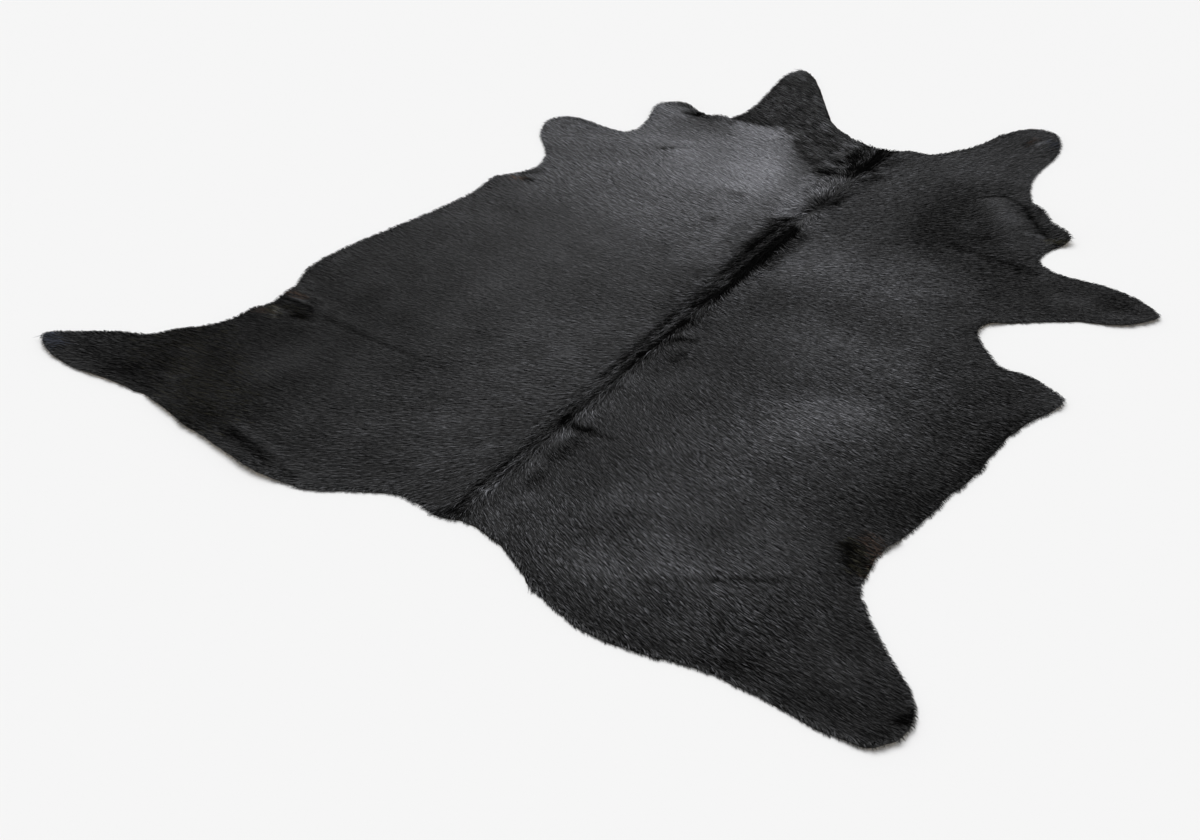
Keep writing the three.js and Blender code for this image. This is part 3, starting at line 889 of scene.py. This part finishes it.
def fibreGroup():  # suede fibres: a mask of darker spots and a height
    group = bpy.data.node_groups.new("suedeFibres", "ShaderNodeTree")
    group.interface.new_socket("Scale", in_out="INPUT", socket_type="NodeSocketFloat")
    group.interface.new_socket("Mask", in_out="OUTPUT", socket_type="NodeSocketFloat")
    group.interface.new_socket("Height", in_out="OUTPUT", socket_type="NodeSocketFloat")
    nodes, links = group.nodes, group.links
    start = nodes.new("NodeGroupInput")
    end = nodes.new("NodeGroupOutput")
    place = nodes.new("ShaderNodeTexCoord")
    spots = noise(nodes, suede["spots"])
    links.new(place.outputs["Object"], spots.inputs["Vector"])
    links.new(start.outputs["Scale"], spots.inputs["Scale"])
    finer = nodes.new("ShaderNodeMath")
    finer.operation = "MULTIPLY"
    finer.inputs[1].default_value = suede["fibresFiner"]
    links.new(start.outputs["Scale"], finer.inputs[0])
    fibres = noise(nodes, suede["fibres"])
    links.new(place.outputs["Object"], fibres.inputs["Vector"])
    links.new(finer.outputs["Value"], fibres.inputs["Scale"])
    links.new(spots.outputs["Fac"], end.inputs["Mask"])
    links.new(fibres.outputs["Fac"], end.inputs["Height"])
    return group


def suedeMaterial(name, group):
    look = suede[name]
    mat, shader = newMaterial(name, **suede["finish"])
    nodes, links = mat.node_tree.nodes, mat.node_tree.links
    fibres = nodes.new("ShaderNodeGroup")
    fibres.node_tree = group
    fibres.inputs["Scale"].default_value = look["scale"]
    tint = ramp(nodes, [(suede["darkTo"], look["dark"]), (suede["lightFrom"], look["light"])])
    links.new(fibres.outputs["Mask"], tint.inputs["Fac"])
    links.new(tint.outputs["Color"], shader.inputs["Base Color"])
    bump = nodes.new("ShaderNodeBump")
    bump.inputs["Strength"].default_value = look["bump"]
    bump.inputs["Distance"].default_value = suede["fibreDepth"]
    links.new(fibres.outputs["Height"], bump.inputs["Height"])
    links.new(bump.outputs["Normal"], shader.inputs["Normal"])
    return mat


fibreNodes = fibreGroup()
hairMats = [hairMaterial("black_hair"), hairMaterial("dull_hair")]
suedeMats = [suedeMaterial("flesh_side", fibreNodes), suedeMaterial("painted_shade_cut_edge", fibreNodes)]
skinMats = [rootMaterial("hair_roots"), *suedeMats]
print("materials ready")


# Leather: one closed thin sheet on the solid's folds

def meshPiece(name, verts, faces, mats):
    mesh = bpy.data.meshes.new(name)
    sides = faces.shape[1]
    mesh.vertices.add(len(verts))
    mesh.vertices.foreach_set("co", np.ascontiguousarray(verts, np.float32).ravel())
    mesh.loops.add(faces.size)
    mesh.loops.foreach_set("vertex_index", faces.astype(np.int32).ravel())
    mesh.polygons.add(len(faces))
    mesh.polygons.foreach_set("loop_start", np.arange(0, faces.size, sides, dtype=np.int32))
    mesh.update(calc_edges=True)
    mesh.validate()
    for mat in mats:
        mesh.materials.append(mat)
    piece = bpy.data.objects.new(name, mesh)
    bpy.context.scene.collection.objects.link(piece)
    return piece


def leatherEdge():  # the cut edge, a little inside the hair's outline and not quite smooth
    inside = hide["hairOver"] + lumpy(hide["rimLumps"], *hairEdge.T)
    return hairEdge - outward(hairEdge) * inside[:, None]


def isBent(places):
    x, y = places.T
    reach = 2 * hide["bentPitch"]
    sides = ((reach, 0), (-reach, 0), (0, reach), (0, -reach))
    around = sum(sample("skin", x + stepX, y + stepY) for stepX, stepY in sides)
    return np.abs(around / 4 - sample("skin", x, y)) > hide["bend"]


def makeLeather():
    rim = leatherEdge()
    wide, close = evenPlaces(hide["pointPitch"]), evenPlaces(hide["bentPitch"])
    inner = np.vstack([wide[~isBent(wide)], close[isBent(close)]])
    room = hide["hairOver"] + hide["rimRoom"] * hide["bentPitch"]
    inner = inner[sample("edgeGap", *inner.T) > room]
    flat = [Vector(p) for p in np.vstack([rim, inner])]
    insideOnly = 1  # triangles within the rim
    fill = delaunay_2d_cdt(flat, [], [list(range(len(rim)))], insideOnly, hide["merge"])
    level, tris = np.array([p[:] for p in fill[0]]), np.array(fill[2])
    flesh = np.column_stack([level, np.maximum(sample("under", *level.T), 0)])
    count = len(level)
    # walls run along the edges that only one triangle has
    sides = np.vstack([tris[:, [0, 1]], tris[:, [1, 2]], tris[:, [2, 0]]])
    key = np.sort(sides, axis=1)
    _, first, uses = np.unique(key[:, 0] * count + key[:, 1], return_index=True, return_counts=True)
    a, b = sides[first[uses == 1]].T
    walls = np.vstack([np.column_stack([a, a + count, b]), np.column_stack([b, a + count, b + count])])
    faces = np.vstack([tris, tris[:, ::-1] + count, walls])
    piece = meshPiece("leather", np.vstack([onSkin(level), flesh]), faces, skinMats)
    slots = np.repeat([0, 1, 2], [len(tris), len(tris), len(walls)]).astype(np.int32)
    piece.data.polygons.foreach_set("material_index", slots)
    piece.data.polygons.foreach_set("use_smooth", slots < 2)
    # the leather's hair side takes the hair's tone, painted shade and sheen included, darkened as painted
    # shade between the locks
    shade = hairLook["rootShade"] * hairLook["greySpan"] * toneWithPaintedLight(*level.T)
    tone = piece.data.attributes.new("tone", "FLOAT", "POINT")
    tone.data.foreach_set("value", np.tile(shade, 2).astype(np.float32))
    return piece


leather = makeLeather()
print("leather:", len(leather.data.polygons), "triangles")


# Hair: closed tapered locks, each from its root on the leather to its tip

def lockPiece(name, route, side, up, width, ridge, lean, tone, shade):
    # route has a row of places for each lock, root first, with a section at each place but the tip
    count, places = route.shape[:2]
    sections = places - 1
    corners = 3 * sections + 1
    verts = np.empty((count, corners, 3))
    uv = np.empty((count, corners, 2))
    sliver = hairLook["sliver"]
    for k in range(sections):
        ahead = route[:, k + 1] - route[:, k]
        half = side * (width[:, k] / 2)[:, None]
        verts[:, 3 * k] = route[:, k] - half
        verts[:, 3 * k + 1] = route[:, k] + half
        verts[:, 3 * k + 2] = route[:, k] + lean * ahead + up * ridge[:, k][:, None]
        uv[:, 3 * k] = np.column_stack([shade - sliver, np.full(count, k / sections)])
        uv[:, 3 * k + 1] = np.column_stack([shade + sliver, np.full(count, k / sections)])
        uv[:, 3 * k + 2] = np.column_stack([shade, np.full(count, (k + lean) / sections)])
    verts[:, -1] = route[:, -1]
    uv[:, -1] = np.column_stack([shade, np.ones(count)])
    lock = [(0, 1, 2)]
    for left in range(0, 3 * sections - 3, 3):
        right, top = left + 1, left + 2
        lock += [(left, top, left + 3), (top, top + 3, left + 3)]
        lock += [(right, right + 3, top), (right + 3, top + 3, top)]
        lock += [(left, left + 3, right), (left + 3, right + 3, right)]
    left, right, top, tip = range(corners - 4, corners)
    lock += [(left, top, tip), (right, tip, top), (left, tip, right)]
    faces = (np.array(lock)[None] + (np.arange(count) * corners)[:, None, None]).reshape(-1, 3)
    piece = meshPiece(name, verts.reshape(-1, 3), faces, hairMats)
    slots = np.repeat(tone < hairLook["dull"], len(lock)).astype(np.int32)
    piece.data.polygons.foreach_set("material_index", slots)
    layer = piece.data.uv_layers.new(name="OFBake")
    layer.data.foreach_set("uv", uv.reshape(-1, 2)[faces.ravel()].astype(np.float32).ravel())
    print(name, len(piece.data.polygons), "triangles")
    return piece


def lockTones(level, heading, length, rng):  # each lock's tone and its place on the hair's ramp
    x, y = (level + levelWay(heading) * (hairLook["shown"] * length)[:, None]).T
    tone = toneWithPaintedLight(x, y)
    plain = tones["plain"]
    shine = 1 + tones["sparkle"] / plain * np.maximum(tone - plain, 0) / plain
    tone += tones["tuft"] * shine**2 * tuftTone(x, y, heading)
    lively = 1 + added("more", x, y, tones["lively"])
    lively *= np.clip(tone / hairLook["dull"], tones["calm"], 1)
    uneven = rng.normal(size=len(x))
    uneven = balanced(uneven - tones["sink"] * uneven**2, x, y)
    tone += tones["strand"] * lively * shine * uneven
    tone = np.clip(tone, tones["blackest"], hairLook["greys"][-1][0])
    shade = hairLook["greySpan"] * tone
    for name, cast in hairLook["casts"].items():
        has = rng.random(len(x)) < tintShare(name, x, y)
        ends = cast["from"] + hairLook["sliver"], cast["to"] - hairLook["sliver"]
        place = np.interp(tone, (hairLook["castTones"][0], hairLook["castTones"][-1]), ends)
        shade = np.where(has, place, shade)
    return tone, shade


coat = {
    "left": {"pitch": 0.0044, "width": (0.0010, 0.0018), "seed": 5},  # pitch is between neighbouring roots
    "right": {"pitch": 0.00363, "width": (0.0008, 0.0015), "seed": 8},
    "jitter": 0.6,  # of the pitch
    "length": (0.015, 0.026),
    "ridge": 0.0006,
    "ridges": (0.6, 1.5),  # times that
    "ridgeAt": 0.3,  # of the length
    "lift": (0.0008, 0.0034),  # of the tips over the leather
    "sunk": 0.0002,  # roots in the leather
    "stray": 0.07,  # radians between neighbours
    "past": (0.000, 0.004),  # tips may reach this far past the outline
    "cutIn": 0.0008,  # and this far into a fold, and longer locks are shortened
    "shorten": 0.75,
    "shortenTimes": 6,
    "bands": {"rear": (-200, 480), "middle": (480, 1130), "front": (1130, 2200)},  # along the spine
}


def layCoat(half):
    look = coat[half]
    rng = np.random.default_rng(look["seed"])
    level = evenPlaces(look["pitch"])
    level = level + look["pitch"] * rng.uniform(-coat["jitter"], coat["jitter"], level.shape)
    onHalf = (level[:, 0] < hide["spineX"]) == (half == "left")
    level = level[onHalf & (sample("edgeGap", *level.T) > hide["hairOver"])]
    count = len(level)
    root = onSkin(level)
    up = skinUp(*level.T)
    heading = hairWay(*level.T) + coat["stray"] * rng.normal(size=count)
    way = levelWay(heading)
    length = rng.uniform(*coat["length"], count)
    past = rng.uniform(*coat["past"], count)
    lift = rng.uniform(*coat["lift"], count)
    for _ in range(coat["shortenTimes"]):
        tip = level + way * length[:, None]
        tipHigh = sample("skin", *tip.T) + lift
        middle = (level + tip) / 2
        cuts = sample("skin", *middle.T) - (root[:, 2] + tipHigh) / 2 > coat["cutIn"]
        over = sample("edgeGap", *tip.T) < -past
        length = np.where(cuts | over, coat["shorten"] * length, length)
    tip = onSkin(level + way * length[:, None])
    tip[:, 2] += lift
    ahead = tip - root
    ahead /= np.linalg.norm(ahead, axis=1)[:, None]
    side = np.cross(ahead, up)
    side /= np.linalg.norm(side, axis=1)[:, None]
    route = np.stack([root - coat["sunk"] * up, tip], axis=1)
    width = rng.uniform(*look["width"], (count, 1))
    ridge = coat["ridge"] * rng.uniform(*coat["ridges"], (count, 1))
    tone, shade = lockTones(level, heading, length, rng)
    along = onHide(*level.T)[1]
    pieces = []
    for band, (start, end) in coat["bands"].items():
        pick = np.flatnonzero((along >= start) & (along < end))
        shape = (values[pick] for values in (route, side, up, width, ridge))
        name = "hair_" + half + "_" + band
        pieces.append(lockPiece(name, *shape, coat["ridgeAt"], tone[pick], shade[pick]))
    return pieces


hairPieces = layCoat("left") + layCoat("right")

# Bent locks of two sections, risen in the middle and lower again at the tip, for the crest and the rim

bent = {
    "middleAt": 0.5,  # of the length
    "tipHigh": 0.45,  # of the middle's height
    "sunk": 0.0003,  # roots in the leather
    "overFloor": 0.0002,
    "taper": 0.8,
    "ridge": 0.35,  # of the width
}


def bentLocks(name, root, heading, length, high, droop, width, tone, shade):
    way = levelWay(heading)
    middle = onSkin(root[:, :2] + way * (bent["middleAt"] * length)[:, None])
    middle[:, 2] += high
    tip = onSkin(root[:, :2] + way * length[:, None])
    tip[:, 2] = np.maximum(tip[:, 2] + bent["tipHigh"] * high - droop, bent["overFloor"])
    route = np.stack([root - (0, 0, bent["sunk"]), middle, tip], axis=1)
    side = np.column_stack([way[:, 1], -way[:, 0], np.zeros(len(root))])
    up = np.tile([0.0, 0.0, 1.0], (len(root), 1))
    widths = np.column_stack([width, bent["taper"] * width])
    return lockPiece(name, route, side, up, widths, bent["ridge"] * widths, 0.0, tone, shade)


# The back's crest: finer locks that stand a little along the spine

crest = {
    "lengths": (0.7, 1.25),  # times a run's own
    "heights": (0.5, 1.3),
    "width": (0.0011, 0.0021),
    "fan": 0.30,  # radians that the locks spread to both sides
    "past": 0.006,  # tips may reach this far past the outline
    "seed": 6,
}

# From and to along the spine, locks for each millimetre, their spread and shift across, length and height
crest["runs"] = table("from to thick spread shift length high", [
    (-8, 380, 1.9, 14, -6, 0.032, 0.0036),
    (380, 800, 1.7, 15, -10, 0.032, 0.0038),
    (800, 1040, 1.9, 18, -14, 0.034, 0.0046),
    (1040, 1340, 2.4, 20, -20, 0.036, 0.0060),
    (1340, 1620, 1.9, 26, -12, 0.032, 0.0050),
    (1620, 1792, 2.4, 24, -8, 0.032, 0.0062),
])


def layCrest():
    rng = np.random.default_rng(crest["seed"])
    locks = []
    for run in crest["runs"]:
        count = int(run["thick"] * (run["to"] - run["from"]))
        across = run["shift"] + run["spread"] * rng.normal(size=count)
        along = rng.uniform(run["from"], run["to"], count)
        length = run["length"] * rng.uniform(*crest["lengths"], count)
        high = run["high"] * rng.uniform(*crest["heights"], count)
        locks.append((across, along, length, high))
    across, along, length, high = (np.concatenate(values) for values in zip(*locks))
    level = np.column_stack(spot((across, along)))
    heading = hairWay(*level.T) + crest["fan"] * rng.normal(size=len(level))
    tip = level + levelWay(heading) * length[:, None]
    inside = sample("edgeGap", *tip.T) > -crest["past"]
    inside &= sample("edgeGap", *level.T) > hide["hairOver"]
    width = rng.uniform(*crest["width"], len(level))
    tone, shade = lockTones(level, heading, length, rng)
    shape = (onSkin(level), heading, length, high, np.zeros(len(level)), width, tone, shade)
    return bentLocks("hair_crest", *(values[inside] for values in shape))


# The rim: fine locks that lie over the cut edge, most where the hair runs outwards

fringe = {
    "perStep": 6.4,  # locks for each rim point
    "inside": (0.001, 0.014),  # roots lie this far inside the leather's edge
    "past": (-0.003, 0.008),  # tips reach this far past the hair's outline where they run outwards
    "ragged": [(0.0035, 0.007, 31)],  # tufts that reach further than their neighbours
    "leastPast": 0.45,  # of that, where they run along the edge
    "leastOut": 0.15,  # locks that run outwards less than this are left out
    "leastSlant": 0.3,  # and those below this get no longer
    "length": (0.012, 0.045),
    "high": (0.0012, 0.0036),
    "droop": (0.0010, 0.0050),
    "width": (0.0014, 0.0026),
    "stray": 0.24,
    "splay": 0.45,  # how much the rim's hair leans outwards
    "seed": 7,
}


def layFringe():
    rng = np.random.default_rng(fringe["seed"])
    count = int(fringe["perStep"] * len(hairEdge))
    at = rng.integers(0, len(hairEdge), count)
    out = outward(hairEdge)[at]
    back = rng.uniform(*fringe["inside"], count) + hide["hairOver"]
    tangent = np.column_stack([-out[:, 1], out[:, 0]])
    slide = hide["rimStep"] * rng.uniform(-0.5, 0.5, count)
    level = hairEdge[at] - out * back[:, None] + tangent * slide[:, None]
    heading = hairWay(*level.T) + fringe["stray"] * rng.normal(size=count)
    way = levelWay(heading) + fringe["splay"] * out
    way /= np.hypot(*way.T)[:, None]
    heading = np.arctan2(way[:, 1], way[:, 0])
    facing = np.sum(way * out, axis=1)
    keep = (facing > fringe["leastOut"]) & (sample("edgeGap", *level.T) > hide["hairOver"])
    level, heading, facing, back = level[keep], heading[keep], facing[keep], back[keep]
    count = len(level)
    past = rng.uniform(*fringe["past"], count) + lumpy(fringe["ragged"], *level.T)
    past *= np.clip(facing, fringe["leastPast"], 1)
    length = np.clip((back + past) / np.maximum(facing, fringe["leastSlant"]), *fringe["length"])
    high = rng.uniform(*fringe["high"], count)
    droop = rng.uniform(*fringe["droop"], count)
    width = rng.uniform(*fringe["width"], count)
    tone, shade = lockTones(level, heading, length, rng)
    return bentLocks("hair_fringe", onSkin(level), heading, length, high, droop, width, tone, shade)


hairPieces += [layCrest(), layFringe()]

# Stage and light

studio = {
    "floorSize": 24,
    "floorDrop": 0.0004,  # under the hide
    "floorColour": (0.90, 0.90, 0.90),
    "floorFinish": {"roughness": 0.9, "specular": 0.1},
    "sky": 0.42,
    "lampFrom": (-1.2, 0.9, 3.0),  # a broad soft lamp, high on the left
    "lampSpread": 60,
    "lampPower": 2.12,
}


def makeFloor():
    bpy.ops.mesh.primitive_plane_add(size=studio["floorSize"], location=(0, 0, -studio["floorDrop"]))
    floor = bpy.context.object
    floor.name = "floor"
    mat, shader = newMaterial("pale_floor", **studio["floorFinish"])
    shader.inputs["Base Color"].default_value = (*studio["floorColour"], 1)
    floor.data.materials.append(mat)


def setLight():
    scene = bpy.context.scene
    scene.world = bpy.data.worlds.new("studio")
    scene.world.use_nodes = True
    sky = scene.world.node_tree.nodes["Background"]
    sky.inputs["Color"].default_value = (1, 1, 1, 1)
    sky.inputs["Strength"].default_value = studio["sky"]
    bpy.ops.object.light_add(type="SUN", location=studio["lampFrom"])
    lamp = bpy.context.object
    lamp.name = "broad_lamp"
    lamp.data.angle = math.radians(studio["lampSpread"])
    lamp.data.energy = studio["lampPower"]
    lamp.rotation_euler = (-Vector(studio["lampFrom"])).to_track_quat("-Z", "Y").to_euler()
    scene.view_settings.view_transform = "Standard"


makeFloor()
setLight()
print("stage and light set")

for piece in [leather, *hairPieces]:
    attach(piece, "root")
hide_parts("cowhide")
